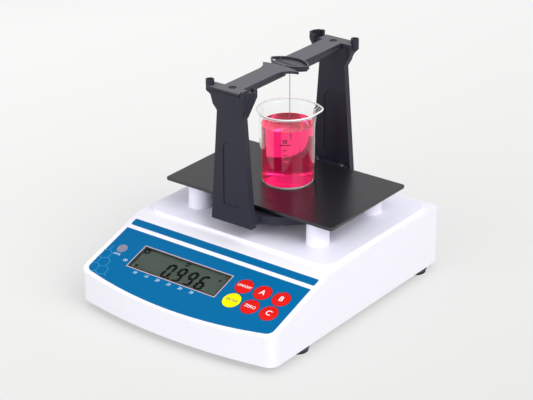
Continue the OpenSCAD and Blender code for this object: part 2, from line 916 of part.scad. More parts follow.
// The pillar's face: wide foot, narrow neck and a head that flares out to the given point on the tube's side
module pillar_face(flare) {
    foot = pillar_foot_w / 2;
    neck = pillar_neck_w / 2;
    head = ear_x + 4;
    polygon([
        [-foot, pan_z], [foot, pan_z], [neck, neck_z], [head, flare_z - 1], [head, arm_seat],
        [-flare[0], arm_seat], [-flare[0], flare[1]], [-neck, neck_z]
    ]);
}

module arch_plan() {
    translate([-arch_w / 2, arch_low]) square([arch_w, arch_top - arch_w / 2 - arch_low]);
    translate([0, arch_top - arch_w / 2]) circle(d = arch_w);
}

module pillar() {
    difference() {
        union() {
            // Upright plate
            translate([0, -pillar_in, 0]) rotate([90, 0, 0]) linear_extrude(pillar_t) pillar_face(plate_flare);
            // Head that leans out to the front under the arm's cross bar
            intersection() {
                translate([0, -pillar_in + 0.8, 0]) rotate([90, 0, 0])
                    linear_extrude(head_front - pillar_in + 0.8) pillar_face(head_flare);
                rotate([90, 0, 90]) linear_extrude(80, center = true)
                    polygon([
                        [-pillar_in + 0.8, arm_seat], [-head_front, arm_seat], [-head_front, head_lip_z],
                        [-head_front + 1.2, head_lip_z - 0.6], [-pillar_in - pillar_t, neck_z - 1],
                        [-pillar_in + 0.8, neck_z - 1]
                    ]);
            }
            // Half-round wall that wraps one end of the cross bar
            intersection() {
                translate([ear_x, -bar_mid, 0]) union() {
                    translate([0, 0, flare_z]) cylinder(r = ear_in_r + ear_t, h = arm_top + ear_over - flare_z);
                    translate([0, 0, neck_z]) cylinder(r1 = 0.6, r2 = ear_in_r + ear_t, h = flare_z - neck_z);
                }
                translate([ear_x - 1, -bar_mid - 15, neck_z]) cube([20, 30, 40]);
            }
            // Small tube at the other end
            translate([-tube_x, -tube_y, 0]) {
                translate([0, 0, tube_low]) cylinder(d = tube_d, h = arm_top + tube_over - tube_low);
                translate([0, 0, tube_low - 3.6]) cylinder(d1 = 1, d2 = tube_d, h = 3.6);
            }
            // Foot that reaches under the pan's ear
            translate([-tab_w / 2, -pillar_in - pillar_t, pan_z]) cube([tab_w, pillar_t + tab_in, tab_h]);
        }
        // Ridges on the half-round wall, outside and inside
        for (a = ear_ridges)
            translate([ear_x, -bar_mid, 0]) rotate(a) {
                translate([ear_in_r + ear_t + 0.2, 0, flare_z - 4])
                    cylinder(r = ear_ridge_r, h = arm_top + ear_over - flare_z + 5, $fn = 24);
                translate([ear_in_r, 0, arm_top + 0.2]) cylinder(r = ear_ridge_r, h = ear_over + 1, $fn = 24);
            }
        // Seat of the cross bar inside the half-round wall
        translate([ear_x, -bar_mid, arm_seat]) cylinder(r = ear_in_r, h = 20);
        translate([0, -bar_mid - ear_in_r, arm_seat]) cube([ear_x, 2 * ear_in_r, 20]);
        translate([-tube_x, -tube_y, arm_top + tube_over - 7]) cylinder(d = 4.4, h = 10);
        // The same arched recess on both faces
        for (y = [-pillar_in - pillar_t + arch_depth, -pillar_in + 1])
            translate([0, y, 0]) rotate([90, 0, 0]) linear_extrude(arch_depth + 1) arch_plan();
        translate([0, -arm_screw_y, arm_seat - 9]) cylinder(d = m3_screw[0], h = 20);
        for (x = [-1, 1])
            translate([x * pillar_screw_x, -pillar_screw_y, pan_z - 1]) cylinder(d = m3_screw[0], h = 20);
    }
}

module front_pillar() {
    color("darkslategray") at_front() pillar();
}

module rear_pillar() {
    color("darkslategray") at_rear() pillar();
}

// Plan of an arm's cross bar: one end stops short in the half-round wall, the other is hollowed for the tube
module cross_bar_plan() {
    difference() {
        translate([-tube_x, -bar_mid - bar_half]) square([tube_x + bar_end, 2 * bar_half]);
        translate([-tube_x, -tube_y]) circle(d = tube_d + 0.4);
    }
}

screw_dish_d = 7.2;
screw_dish_h = 1.2;

// What the two arms share: the cross bar and the strip, from the cross bar to y = -tip
module arm(tip) {
    difference() {
        union() {
            translate([0, 0, arm_seat]) linear_extrude(arm_top - arm_seat) cross_bar_plan();
            translate([-arm_w / 2, -bar_mid, arm_top - arm_plate_t]) cube([arm_w, bar_mid - tip, arm_plate_t]);
            for (side = [-1, 1])
                translate([side * (arm_w / 2 - 1) - 1, -pillar_in + 1.1, arm_top - arm_skirt_h])
                    cube([2, pillar_in - 1.1 - tip, arm_skirt_h - eps]);
        }
        translate([0, -arm_screw_y, arm_seat - 1]) cylinder(d = m3_screw[0] + 0.4, h = 20);
        translate([0, -arm_screw_y, arm_top - screw_dish_h]) cylinder(d = screw_dish_d, h = 5);
        // A groove runs along each side of the skirt
        for (side = [-1, 1])
            translate([side * arm_w / 2, -pillar_in / 2 - 1, arm_top - arm_skirt_h + 2.6])
                cube([1.2, pillar_in - 6, 1.2], center = true);
    }
}

fishtail_y = 5.9;
horn_r = [23, 15];
horn_start = 26;
fishtail_sag = 3.7;

module fishtail_plan() {
    half = fishtail_w / 2;
    end_r = (pow(half, 2) + pow(fishtail_sag, 2)) / (2 * fishtail_sag);
    difference() {
        intersection() {
            translate([fishtail_right - half, -horn_start - 1]) square([fishtail_w, horn_start]);
            translate([0, -fishtail_y - end_r]) circle(r = end_r, $fn = 180);
        }
        for (i = [0, 1]) {
            out = (2 * i - 1) * (arm_w / 2 + horn_r[i]);
            translate([out, -horn_start]) circle(r = horn_r[i]);
            translate([out, -horn_start - 10]) square([2 * horn_r[i], 20], center = true);
        }
        translate([hanger_right, -fishtail_y]) circle(r = 1.1);
    }
}

module front_arm() {
    color("gray") at_front() union() {
        arm(horn_start - 14);
        translate([0, 0, arm_top - arm_plate_t]) linear_extrude(arm_plate_t) fishtail_plan();
    }
}

// Plan of the leaf-shaped dish: what two large circles share, drawn in by inset
dish_arc_r = (pow(dish_len / 2, 2) + pow(dish_w / 2, 2)) / dish_w;
dish_off = dish_arc_r - dish_w / 2;
dish_rim_t = 1.5;
dish_wall_h = 3.6;
dish_low = arm_top - 5.4;
dish_floor = arm_top - dish_depth;
blunt = 0.8;
tip_lift = 20;

module dish_plan(inset) {
    intersection() {
        translate([0, -dish_off]) circle(r = dish_arc_r - inset, $fn = 180);
        translate([0, dish_off]) circle(r = dish_arc_r - inset, $fn = 180);
        square([dish_len - 2 * blunt - 2 * inset, dish_w], center = true);
    }
}

slot_w = 2.4;
groove_gap = 0.2;
bar_half_len = 11;
bar_z = dish_floor - 0.9;
clip_len = 17;

module rear_arm() {
    color("gray") translate([0, pan_y, 0]) difference() {
        union() {
            rotate(180) arm(hanger_back + dish_w / 2 - 3);
            translate([hanger_right, hanger_back, 0]) {
                translate([0, 0, arm_top - dish_wall_h]) linear_extrude(dish_wall_h) dish_plan(0);
                translate([0, 0, dish_low]) linear_extrude(arm_top - dish_low) dish_plan(1.6);
            }
            // Clip under the arm's side
            translate([arm_w / 2 - 5, hanger_back + dish_w / 2 + 5, arm_top - arm_skirt_h - 2])
                cube([5, clip_len, 4]);
        }
        translate([hanger_right, hanger_back, 0]) {
            // The underside rises to the left tip, like a bow
            translate([-dish_len / 2 - 1, -dish_w / 2, arm_top - 1]) rotate([0, tip_lift, 0])
                translate([0, 0, -dish_w]) cube([dish_w / 2 + 2, dish_w, dish_w]);
            translate([0, 0, dish_floor]) linear_extrude(10) dish_plan(dish_rim_t);
            // Groove across the floor, which holds the hanger's bar
            translate([-bar_half_len - 0.5, 0, bar_z]) rotate([0, 90, 0])
                cylinder(d = bar_d + 2 * groove_gap, h = 2 * bar_half_len + 1, $fn = 32);
            translate([-bar_half_len - 0.5, -bar_d / 2 - groove_gap, bar_z])
                cube([2 * bar_half_len + 1, bar_d + 2 * groove_gap, 5]);
            // Slot through the front wall, where the wire is put in
            translate([0, 0, arm_top - deep / 2]) cylinder(d = slot_w, h = deep);
            translate([-slot_w / 2, -deep, arm_top - deep / 2]) cube([slot_w, deep, deep]);
        }
    }
}

module arm_screws() {
    color("silver")
        for (side = [-1, 1])
            translate([0, pan_y + side * arm_screw_y, arm_top - screw_dish_h])
                mirror([0, 0, 1]) screw_up([2.9, 6.2, 0.9], 10);
}

module pillar_screws() {
    color("silver")
        for (x = [-1, 1], side = [-1, 1])
            translate([x * pillar_screw_x, pan_y + side * pillar_screw_y, pan_top])
                mirror([0, 0, 1]) screw_up([2.9, m3_screw[1], m3_screw[2]], pan_plate_t + 3.5);
}

// ---------- hanger, sinker, beaker and sample ----------

sinker_z = platform_top + sinker_over;
sinker_top = sinker_z + sinker_len;
eye_h = 3;

module at_hanger() {
    translate([hanger_right, pan_y + hanger_back, 0]) children();
}

grip_h = 6;
grip_d = bar_d * 0.86;

module hanger_wire() {
    color("silver") at_hanger() {
        translate([-bar_half_len, 0, bar_z]) rotate([0, 90, 0]) cylinder(d = bar_d, h = 2 * bar_half_len);
        translate([0, 0, sinker_top + eye_h - 0.5]) cylinder(d = wire_d, h = bar_z - sinker_top - eye_h + 0.5);
        // One end turned up as a grip for tweezers
        translate([-bar_half_len + bar_d / 2, 0, bar_z]) cylinder(d = grip_d, h = grip_h);
    }
}

module sinker() {
    nose = 2;
    color("lightgray") at_hanger()
        difference() {
            rotate_extrude()
                polygon([
                    [0, sinker_z], [sinker_d / 2 - nose, sinker_z], [sinker_d / 2, sinker_z + nose],
                    [sinker_d / 2, sinker_top - nose], [sinker_d / 2 - nose, sinker_top], [1.6, sinker_top],
                    [1.2, sinker_top + eye_h], [0, sinker_top + eye_h]
                ]);
            translate([0, 0, sinker_top + eye_h - 0.5]) cylinder(d = wire_d, h = 5);
        }
}

beaker_r = beaker_d / 2;
beaker_in_r = beaker_r - glass_t;
rim_start = beaker_h - 4;
floor_t = glass_t + 0.5;
base_r = 4;

module at_beaker() {
    translate([0, pan_y + beaker_back, platform_top]) children();
}

// Half section of the glass: round heel, straight wall and out-turned rim
module beaker_section() {
    difference() {
        union() {
            square([beaker_r - base_r, base_r]);
            translate([beaker_r - base_r, base_r]) circle(r = base_r);
            translate([0, base_r]) square([beaker_r, rim_start - base_r + eps]);
            polygon([
                [0, rim_start], [beaker_r, rim_start], [rim_d / 2 - 0.3, beaker_h - 0.8],
                [rim_d / 2, beaker_h - 0.3], [rim_d / 2 - 0.6, beaker_h], [0, beaker_h]
            ]);
        }
        translate([0, floor_t]) square([beaker_in_r - 2, beaker_h]);
        translate([0, floor_t + 2]) square([beaker_in_r, rim_start]);
        translate([beaker_in_r - 2, floor_t + 2]) circle(r = 2);
        polygon([
            [0, rim_start], [beaker_in_r, rim_start + 0.3], [rim_d / 2 - 1.6, beaker_h],
            [rim_d / 2 - 1.6, beaker_h + 1], [0, beaker_h + 1]
        ]);
        translate([-20, -1]) square([20, beaker_h + 2]);
    }
}

spout_out = rim_d / 2 + 4.5;

module beaker() {
    color("lightcyan", 0.4) at_beaker() rotate([0, 0, spout_turn]) difference() {
        union() {
            rotate_extrude($fn = 96) beaker_section();
            // Spout: a leaning half funnel at the rim
            intersection() {
                translate([spout_out - 12, 0, beaker_h - 13]) rotate([0, 22, 0]) cylinder(r1 = 1, r2 = 6.8, h = 16);
                translate([beaker_r - 0.5, -10, beaker_h - 12]) cube([20, 20, 12]);
            }
        }
        intersection() {
            translate([spout_out - 12, 0, beaker_h - 12.6]) rotate([0, 22, 0]) cylinder(r1 = 0.2, r2 = 6, h = 18);
            translate([beaker_in_r - 3, -10, beaker_h - 12]) cube([20, 20, 20]);
        }
    }
}

liquid_gap = 0.02;

// The sample leaves room for the sinker and its wire
module sample_liquid() {
    color("deeppink", 0.8) difference() {
        at_beaker() union() {
            translate([0, 0, floor_t + liquid_gap]) cylinder(r = beaker_in_r - 2, h = sample_h);
            translate([0, 0, floor_t + 2]) cylinder(r = beaker_in_r - liquid_gap, h = sample_h - 2);
        }
        at_hanger() {
            translate([0, 0, sinker_z - 0.5]) cylinder(d = sinker_d + 1, h = sinker_len + eye_h + 1);
            translate([0, 0, sinker_top]) cylinder(d = wire_d + 1, h = 100);
        }
    }
}

// ---------- what is drawn ----------

upper_housing();
bottom_plate();
housing_screws();
top_tray();
platform_posts();
tray_screws();
platform();
platform_pins();
panel_label();
header_strip();
display_window();
display_bezel();
display_glass();
display_board();
display_screws();
key_on_off();
key_a();
key_b();
key_enter();
key_zero();
key_c();
key_circuit();
key_domes();
level_window();
level_cup();
level_vial();
load_cell();
cell_base();
cell_bolts();
pan_carrier();
main_board();
board_screws();
dc_inlet();
data_port();
foot_nuts();
foot_pad_1();
foot_pad_2();
foot_pad_3();
foot_pad_4();
foot_screw_1();
foot_screw_2();
foot_screw_3();
foot_screw_4();
pan();
front_pillar();
rear_pillar();
front_arm();
rear_arm();
arm_screws();
pillar_screws();
hanger_wire();
sinker();
beaker();
sample_liquid();
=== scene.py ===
"""Looks of the benchtop density meter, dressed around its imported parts. Lengths are in metres."""

import math

import bpy
from mathutils import Matrix, Vector


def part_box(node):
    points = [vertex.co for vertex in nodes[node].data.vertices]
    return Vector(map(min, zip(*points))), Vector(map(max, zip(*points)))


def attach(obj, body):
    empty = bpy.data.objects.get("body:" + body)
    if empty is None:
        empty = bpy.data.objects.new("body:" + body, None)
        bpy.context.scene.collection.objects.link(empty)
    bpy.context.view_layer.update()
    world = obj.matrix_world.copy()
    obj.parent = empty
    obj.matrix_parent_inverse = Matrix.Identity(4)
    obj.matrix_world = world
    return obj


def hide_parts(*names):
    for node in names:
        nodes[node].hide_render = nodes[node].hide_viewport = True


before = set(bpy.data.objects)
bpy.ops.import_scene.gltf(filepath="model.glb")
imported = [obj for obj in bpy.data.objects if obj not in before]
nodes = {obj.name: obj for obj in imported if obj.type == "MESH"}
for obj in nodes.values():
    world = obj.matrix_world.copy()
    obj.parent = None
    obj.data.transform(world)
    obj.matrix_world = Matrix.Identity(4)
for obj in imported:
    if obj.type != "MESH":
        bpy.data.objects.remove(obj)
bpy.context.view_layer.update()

MM = 0.001


def middle_y(node):
    """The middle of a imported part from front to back, to a tenth of a millimetre."""
    low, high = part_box(node)
    return round((low.y + high.y) / 2, 4)


def top_of(node):
    """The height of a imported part's top, to a tenth of a millimetre."""
    return round(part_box(node)[1].z, 4)


PAN_Y = middle_y("pan")
BEAKER_Y = middle_y("beaker")
PLATFORM_TOP = top_of("platform")
HOUSING_TOP = top_of("upper_housing")

# The panel slopes down to the front from a crease in the housing's top
PANEL_ANGLE = math.radians(18.3)
CREASE_Y = -0.040

# On the panel, in millimetres: down from the crease to the label, and heights over the housing's face
LABEL_START = 23.5
LABEL_FACE = 0.5
PRINT_FACE = LABEL_FACE + 0.03
KEY_TOP = LABEL_FACE + 0.25 + 0.03
DISPLAY_FACE = -1.27
WINDOW_X = -20
WINDOW_DOWN = LABEL_START + 28.3

# A low-form beaker of 100 mL: the glass below its rim, and the flare as radius and height above the floor
BEAKER_R = 0.025
GLASS_T = 1.0 * MM
HEEL_R = 3.6 * MM
WALL_TOP = 0.0655
RIM_FLARE = ((0.0253, 0.0668), (0.0262, 0.0680), (0.0273, 0.0689), (0.0281, 0.0694))
RIM_LINE = 0.0693
RIM_BEAD_R = 0.85 * MM
SAMPLE_TOP = 0.0561

# The spout: its direction, and the pulls that shape it. Each pull takes the glass within a reach, in radians,
# and above a height, and moves it out by millimetres
SPOUT_TURN = math.radians(38)
SPOUT_PULLS = (
    (0.56, 0.4, 0.0668), (0.44, 0.6, 0.0668), (0.33, 0.8, 0.0655), (0.22, 1.0, 0.063), (0.11, 0.8, 0.0655),
)


# ---------- small tools ----------


def linear(code):
    """Linear colour of an sRGB hex value such as F0F0F8."""
    parts = [int(code[i : i + 2], 16) / 255 for i in (0, 2, 4)]
    return [c / 12.92 if c <= 0.04045 else ((c + 0.055) / 1.055) ** 2.4 for c in parts] + [1.0]


def darker(code, share):
    """The linear colour of an sRGB hex value, times a share."""
    return [c * share for c in linear(code)[:3]] + [1.0]


def per(size):
    """The scale at which a noise has grains of that many millimetres."""
    return 1000 / size


def add_node(material, kind, inputs=None, **settings):
    """Adds a node, sets its properties, and gives its inputs values or links."""
    tree = material.node_tree
    made = tree.nodes.new(kind)
    for name, value in settings.items():
        setattr(made, name, value)
    for name, value in (inputs or {}).items():
        if isinstance(value, bpy.types.NodeSocket):
            tree.links.new(value, made.inputs[name])
        else:
            made.inputs[name].default_value = value
    return made


def new_material(name):
    """An empty node material with its output, its shader and object coordinates."""
    material = bpy.data.materials.new(name)
    material.use_nodes = True
    material.node_tree.nodes.clear()
    shader = add_node(material, "ShaderNodeBsdfPrincipled")
    output = add_node(material, "ShaderNodeOutputMaterial")
    material.node_tree.links.new(shader.outputs["BSDF"], output.inputs["Surface"])
    place = add_node(material, "ShaderNodeTexCoord").outputs["Object"]
    return material, shader, place


def link(material, source, shader, socket):
    material.node_tree.links.new(source, shader.inputs[socket])


def deselect_all():
    bpy.ops.object.select_all(action="DESELECT")


def only(piece):
    deselect_all()
    piece.select_set(True)
    bpy.context.view_layer.objects.active = piece


def select_where(piece, kind, test):
    """In edit mode, selects the piece's verts or edges whose middle passes the test."""
    bpy.ops.mesh.select_mode(type=kind)
    bpy.ops.mesh.select_all(action="DESELECT")
    bpy.ops.object.mode_set(mode="OBJECT")
    verts = piece.data.vertices
    if kind == "VERT":
        for vert in verts:
            vert.select = test(vert.co)
    else:
        for edge in piece.data.edges:
            a, b = (verts[i].co for i in edge.vertices)
            edge.select = test((a + b) / 2)
    bpy.ops.object.mode_set(mode="EDIT")


def settle(piece):
    """Puts the object's place into its mesh, so that the object sits at the origin."""
    only(piece)
    bpy.ops.object.transform_apply(location=True, rotation=True, scale=True)


def finish_piece(piece, name, body, material, stands_for=()):
    """Names a new piece, gives it its one material, and says which body it rides on and what it replaces."""
    piece.name = name
    piece.data.name = name
    settle(piece)
    piece.data.materials.clear()
    piece.data.materials.append(material)
    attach(piece, body)
    if stands_for:
        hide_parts(*stands_for)


def ring_wall(rings, sides, middle, closed_top=False):
    """A turned shape: a filled circle whose rim is pulled up through rings of (radius, height)."""
    deselect_all()
    x, y = middle
    radius, height = rings[0]
    bpy.ops.mesh.primitive_circle_add(
        vertices=sides, radius=radius, fill_type="NGON", location=(x, y, height))
    piece = bpy.context.object
    bpy.ops.object.transform_apply(location=True)
    bpy.ops.object.mode_set(mode="EDIT")
    bpy.ops.mesh.select_mode(type="EDGE")
    bpy.ops.mesh.select_all(action="SELECT")
    for new_radius, new_height in rings[1:]:
        bpy.ops.mesh.extrude_edges_move(TRANSFORM_OT_translate={"value": (0, 0, new_height - height)})
        share = new_radius / radius
        bpy.ops.transform.resize(value=(share, share, 1), center_override=(x, y, new_height))
        radius, height = new_radius, new_height
    if closed_top:
        bpy.ops.mesh.edge_face_add()
    bpy.ops.mesh.select_all(action="SELECT")
    bpy.ops.mesh.normals_make_consistent(inside=False)
    bpy.ops.object.mode_set(mode="OBJECT")
    return piece


def apply_modifier(piece, kind, **settings):
    """Adds a modifier with its settings and applies it."""
    only(piece)
    made = piece.modifiers.new(kind.lower(), kind)
    for name, value in settings.items():
        setattr(made, name, value)
    bpy.ops.object.modifier_apply(modifier=made.name)


def smooth(piece, degrees):
    only(piece)
    bpy.ops.object.shade_smooth_by_angle(angle=math.radians(degrees))


# ---------- camera, light and ground ----------


def set_camera():
    """The camera fitted to the photograph's straight edges. It looks at a point beside the pan's axis."""
    turn, tilt, roll = math.radians(37.49), math.radians(24.61), math.radians(-0.417)
    distance = 1.6385
    aim_height = 0.07446
    aim_aside = -0.0170
    back = Vector((math.sin(turn) * math.cos(tilt), -math.cos(turn) * math.cos(tilt), math.sin(tilt)))
    across = Vector((math.cos(turn), math.sin(turn), 0))
    up = back.cross(across)
    right = across * math.cos(roll) + up * math.sin(roll)
    top = up * math.cos(roll) - across * math.sin(roll)
    aim = across * aim_aside + Vector((0, PAN_Y, aim_height))
    deselect_all()
    bpy.ops.object.camera_add()
    camera = bpy.context.object
    facing = Matrix((right, top, back)).transposed().to_4x4()
    camera.matrix_world = Matrix.Translation(aim + back * distance) @ facing
    camera.data.sensor_width = 36
    camera.data.lens = 119.72
    camera.data.clip_end = 20
    bpy.context.scene.camera = camera


def set_light():
    world = bpy.data.worlds.new("studio")
    bpy.context.scene.world = world
    world.use_nodes = True
    sky = world.node_tree.nodes["Background"]
    sky.inputs["Color"].default_value = linear("FBFBFD")
    sky.inputs["Strength"].default_value = 0.62
    # Name, place, turn in degrees, size in metres and power in watts
    for name, place, turn, size, power in (
        ("window_left", (-1.3, -1.0, 1.5), (48, 0, -52), 1.3, 3),
        ("front_fill", (-0.2, -2.0, 0.55), (76, 0, -6), 1.5, 21),
        ("window_right", (1.55, -0.25, 1.35), (49, 0, 81), 1.6, 34),
    ):
        deselect_all()
        bpy.ops.object.light_add(type="AREA", location=place, rotation=[math.radians(a) for a in turn])
        lamp = bpy.context.object
        lamp.name = name
        lamp.data.size = size
        lamp.data.energy = power


def backdrop_paper():
    # Seamless paper: matt and pale, a little darker away from the light
    material, shader, place = new_material("backdrop_paper")
    turned = add_node(material, "ShaderNodeMapping", {"Vector": place, "Rotation": (0, 0, math.radians(26))})
    split = add_node(material, "ShaderNodeSeparateXYZ", {"Vector": turned.outputs["Vector"]})
    ramp = add_node(
        material, "ShaderNodeMapRange", {"Value": split.outputs["X"], "From Min": -0.75, "From Max": 0.45})
    shade = add_node(material, "ShaderNodeMix", {"Factor": ramp.outputs["Result"]}, data_type="RGBA")
    shade.inputs[6].default_value = linear("C3C2C0")
    shade.inputs[7].default_value = linear("8A8A88")
    link(material, shade.outputs[2], shader, "Base Color")
    shader.inputs["Roughness"].default_value = 0.9
    shader.inputs["Specular IOR Level"].default_value = 0.1
    # The camera, gloss and glass see paper that is nearly white, under the shadow that the shader keeps
    glow = 0.445
    path = add_node(material, "ShaderNodeLightPath")
    seen = path.outputs["Is Camera Ray"]
    for ray in ("Is Glossy Ray", "Is Transmission Ray"):
        either = add_node(material, "ShaderNodeMath", {0: seen, 1: path.outputs[ray]}, operation="MAXIMUM")
        seen = either.outputs[0]
    lift = add_node(material, "ShaderNodeMath", {0: seen, 1: glow}, operation="MULTIPLY")
    link(material, lift.outputs[0], shader, "Emission Strength")
    shader.inputs["Emission Color"].default_value = (1, 1, 1, 1)
    return material


def set_ground():
    deselect_all()
    bpy.ops.mesh.primitive_plane_add(size=6, location=(0, 0, 0))
    ground = bpy.context.object
    ground.name = "ground"
    ground.data.materials.append(backdrop_paper())


# ---------- materials ----------


def moulded_abs(name, code, rough=0.42):
    # Injection-moulded ABS with a fine spark-eroded grain: satin, faintly uneven, soft highlights
    material, shader, place = new_material(name)
    cloud = add_node(material, "ShaderNodeTexNoise", {"Vector": place, "Scale": per(111), "Detail": 2.0})
    tone = add_node(material, "ShaderNodeMix", {"Factor": cloud.outputs["Fac"]}, data_type="RGBA")
    tone.inputs[6].default_value = linear(code)
    tone.inputs[7].default_value = darker(code, 0.975)
    link(material, tone.outputs[2], shader, "Base Color")
    # The real grain is about 0.2 mm, drawn at 0.6 mm so that it shows
    grains = add_node(material, "ShaderNodeTexNoise", {"Vector": place, "Scale": per(0.625), "Detail": 2.0})
    rise = {"Height": grains.outputs["Fac"], "Strength": 0.12, "Distance": 0.12 * MM}
    bump = add_node(material, "ShaderNodeBump", rise)
    link(material, bump.outputs["Normal"], shader, "Normal")
    sheen = add_node(material, "ShaderNodeMapRange",
                     {"Value": grains.outputs["Fac"], "To Min": rough - 0.04, "To Max": rough + 0.05})
    link(material, sheen.outputs["Result"], shader, "Roughness")
    shader.inputs["IOR"].default_value = 1.5
    return material


def powder_coat(name, code, rough=0.46, top_sheen_code=None, shine=0.5):
    # Powder coat: a close, slightly pebbled skin with a satin sheen. Its flat tops may be painted paler, a
    # painted sheen for the light that falls flat on them
    material, shader, place = new_material(name)
    cloud = add_node(material, "ShaderNodeTexNoise", {"Vector": place, "Scale": per(71.4), "Detail": 3.0})
    tone = add_node(material, "ShaderNodeMix", {"Factor": cloud.outputs["Fac"]}, data_type="RGBA")
    tone.inputs[6].default_value = linear(code)
    tone.inputs[7].default_value = darker(code, 0.86)
    colour = tone.outputs[2]
    # Painted sheen: faces that look up are mixed toward a paler colour
    if top_sheen_code:
        normal = add_node(material, "ShaderNodeNewGeometry").outputs["Normal"]
        facing = add_node(material, "ShaderNodeSeparateXYZ", {"Vector": normal})
        height = facing.outputs["Z"]
        limits = {"Value": height, "From Min": 0.55, "From Max": 0.95}
        upward = add_node(material, "ShaderNodeMapRange", limits)
        share = upward.outputs["Result"]
        top_sheen_mix = add_node(material, "ShaderNodeMix", {"Factor": share, 6: colour}, data_type="RGBA")
        top_sheen_mix.inputs[7].default_value = linear(top_sheen_code)
        colour = top_sheen_mix.outputs[2]
    link(material, colour, shader, "Base Color")
    pebbles = add_node(material, "ShaderNodeTexNoise", {"Vector": place, "Scale": per(0.5), "Detail": 1.0})
    rise = {"Height": pebbles.outputs["Fac"], "Strength": 0.22, "Distance": 0.2 * MM}
    bump = add_node(material, "ShaderNodeBump", rise)
    link(material, bump.outputs["Normal"], shader, "Normal")
    sheen = add_node(material, "ShaderNodeMapRange",
                     {"Value": pebbles.outputs["Fac"], "To Min": rough - 0.06, "To Max": rough + 0.08})
    link(material, sheen.outputs["Result"], shader, "Roughness")
    shader.inputs["IOR"].default_value = 1.5
    shader.inputs["Specular IOR Level"].default_value = shine
    return material


def printed_film(name, code):
    # Back-printed polycarbonate film: one even ink under a velvet face
    material, shader, place = new_material(name)
    ink = add_node(material, "ShaderNodeTexNoise", {"Vector": place, "Scale": per(16.7), "Detail": 2.0})
    tone = add_node(material, "ShaderNodeMix", {"Factor": ink.outputs["Fac"]}, data_type="RGBA")
    tone.inputs[6].default_value = linear(code)
    tone.inputs[7].default_value = darker(code, 0.94)
    link(material, tone.outputs[2], shader, "Base Color")
    # The velvet's grain is about 0.05 mm, drawn at 0.4 mm so that it shows
    velvet = add_node(material, "ShaderNodeTexNoise", {"Vector": place, "Scale": per(0.385), "Detail": 1.0})
    rise = {"Height": velvet.outputs["Fac"], "Strength": 0.08, "Distance": 0.1 * MM}
    bump = add_node(material, "ShaderNodeBump", rise)
    link(material, bump.outputs["Normal"], shader, "Normal")
    shader.inputs["Roughness"].default_value = 0.34
    shader.inputs["IOR"].default_value = 1.52
    shader.inputs["Specular IOR Level"].default_value = 0.05
    return material


def screen_ink(name, code, rough=0.5):
    # Opaque screen ink: flat, with a trace of the mesh it was printed through. The mesh is about 0.1 mm,
    # drawn at 1.1 mm so that it shows
    material, shader, place = new_material(name)
    mesh = add_node(material, "ShaderNodeTexNoise", {"Vector": place, "Scale": per(1.111), "Detail": 1.0})
    tone = add_node(material, "ShaderNodeMix", {"Factor": mesh.outputs["Fac"]}, data_type="RGBA")
    tone.inputs[6].default_value = linear(code)
    tone.inputs[7].default_value = darker(code, 0.93)
    link(material, tone.outputs[2], shader, "Base Color")
    shader.inputs["Roughness"].default_value = rough
    shader.inputs["Specular IOR Level"].default_value = 0.05
    return material


def anodised_sheet(name, code):
    # Black anodised aluminium sheet: the rolling lines run along X under a satin oxide. They lie closer than
    # 0.1 mm, and are drawn 1.1 mm apart and 71 mm long so that they show
    material, shader, place = new_material(name)
    stretch = (per(71.4), per(1.111), per(1.111))
    long = add_node(material, "ShaderNodeMapping", {"Vector": place, "Scale": stretch})
    lines = add_node(
        material, "ShaderNodeTexNoise", {"Vector": long.outputs["Vector"], "Scale": 1.0, "Detail": 3.0})
    tone = add_node(material, "ShaderNodeMix", {"Factor": lines.outputs["Fac"]}, data_type="RGBA")
    tone.inputs[6].default_value = linear(code)
    tone.inputs[7].default_value = darker(code, 0.8)
    link(material, tone.outputs[2], shader, "Base Color")
    sheen = add_node(
        material, "ShaderNodeMapRange", {"Value": lines.outputs["Fac"], "To Min": 0.25, "To Max": 0.33})
    link(material, sheen.outputs["Result"], shader, "Roughness")
    rise = {"Height": lines.outputs["Fac"], "Strength": 0.05, "Distance": 0.05 * MM}
    bump = add_node(material, "ShaderNodeBump", rise)
    link(material, bump.outputs["Normal"], shader, "Normal")
    shader.inputs["IOR"].default_value = 1.72
    return material


def bare_metal(name, code, rough=0.3):
    # Zinc-plated or stainless steel: bright, with fine turning marks. They are about 0.1 mm, drawn at 0.8 mm
    # so that they show
    material, shader, place = new_material(name)
    marks = add_node(material, "ShaderNodeTexNoise", {"Vector": place, "Scale": per(0.833), "Detail": 2.0})
    shader.inputs["Base Color"].default_value = linear(code)
    shader.inputs["Metallic"].default_value = 1.0
    sheen = add_node(material, "ShaderNodeMapRange",
                     {"Value": marks.outputs["Fac"], "To Min": rough - 0.08, "To Max": rough + 0.1})
    link(material, sheen.outputs["Result"], shader, "Roughness")
    return material


def soft_rubber(name, code):
    # Moulded rubber: matt, dusty, finely pitted
    material, shader, place = new_material(name)
    dust = add_node(material, "ShaderNodeTexNoise", {"Vector": place, "Scale": per(3.33), "Detail": 4.0})
    tone = add_node(material, "ShaderNodeMix", {"Factor": dust.outputs["Fac"]}, data_type="RGBA")
    tone.inputs[6].default_value = linear(code)
    tone.inputs[7].default_value = darker(code, 1.5)
    link(material, tone.outputs[2], shader, "Base Color")
    rise = {"Height": dust.outputs["Fac"], "Strength": 0.2, "Distance": 0.2 * MM}
    bump = add_node(material, "ShaderNodeBump", rise)
    link(material, bump.outputs["Normal"], shader, "Normal")
    shader.inputs["Roughness"].default_value = 0.7
    return material


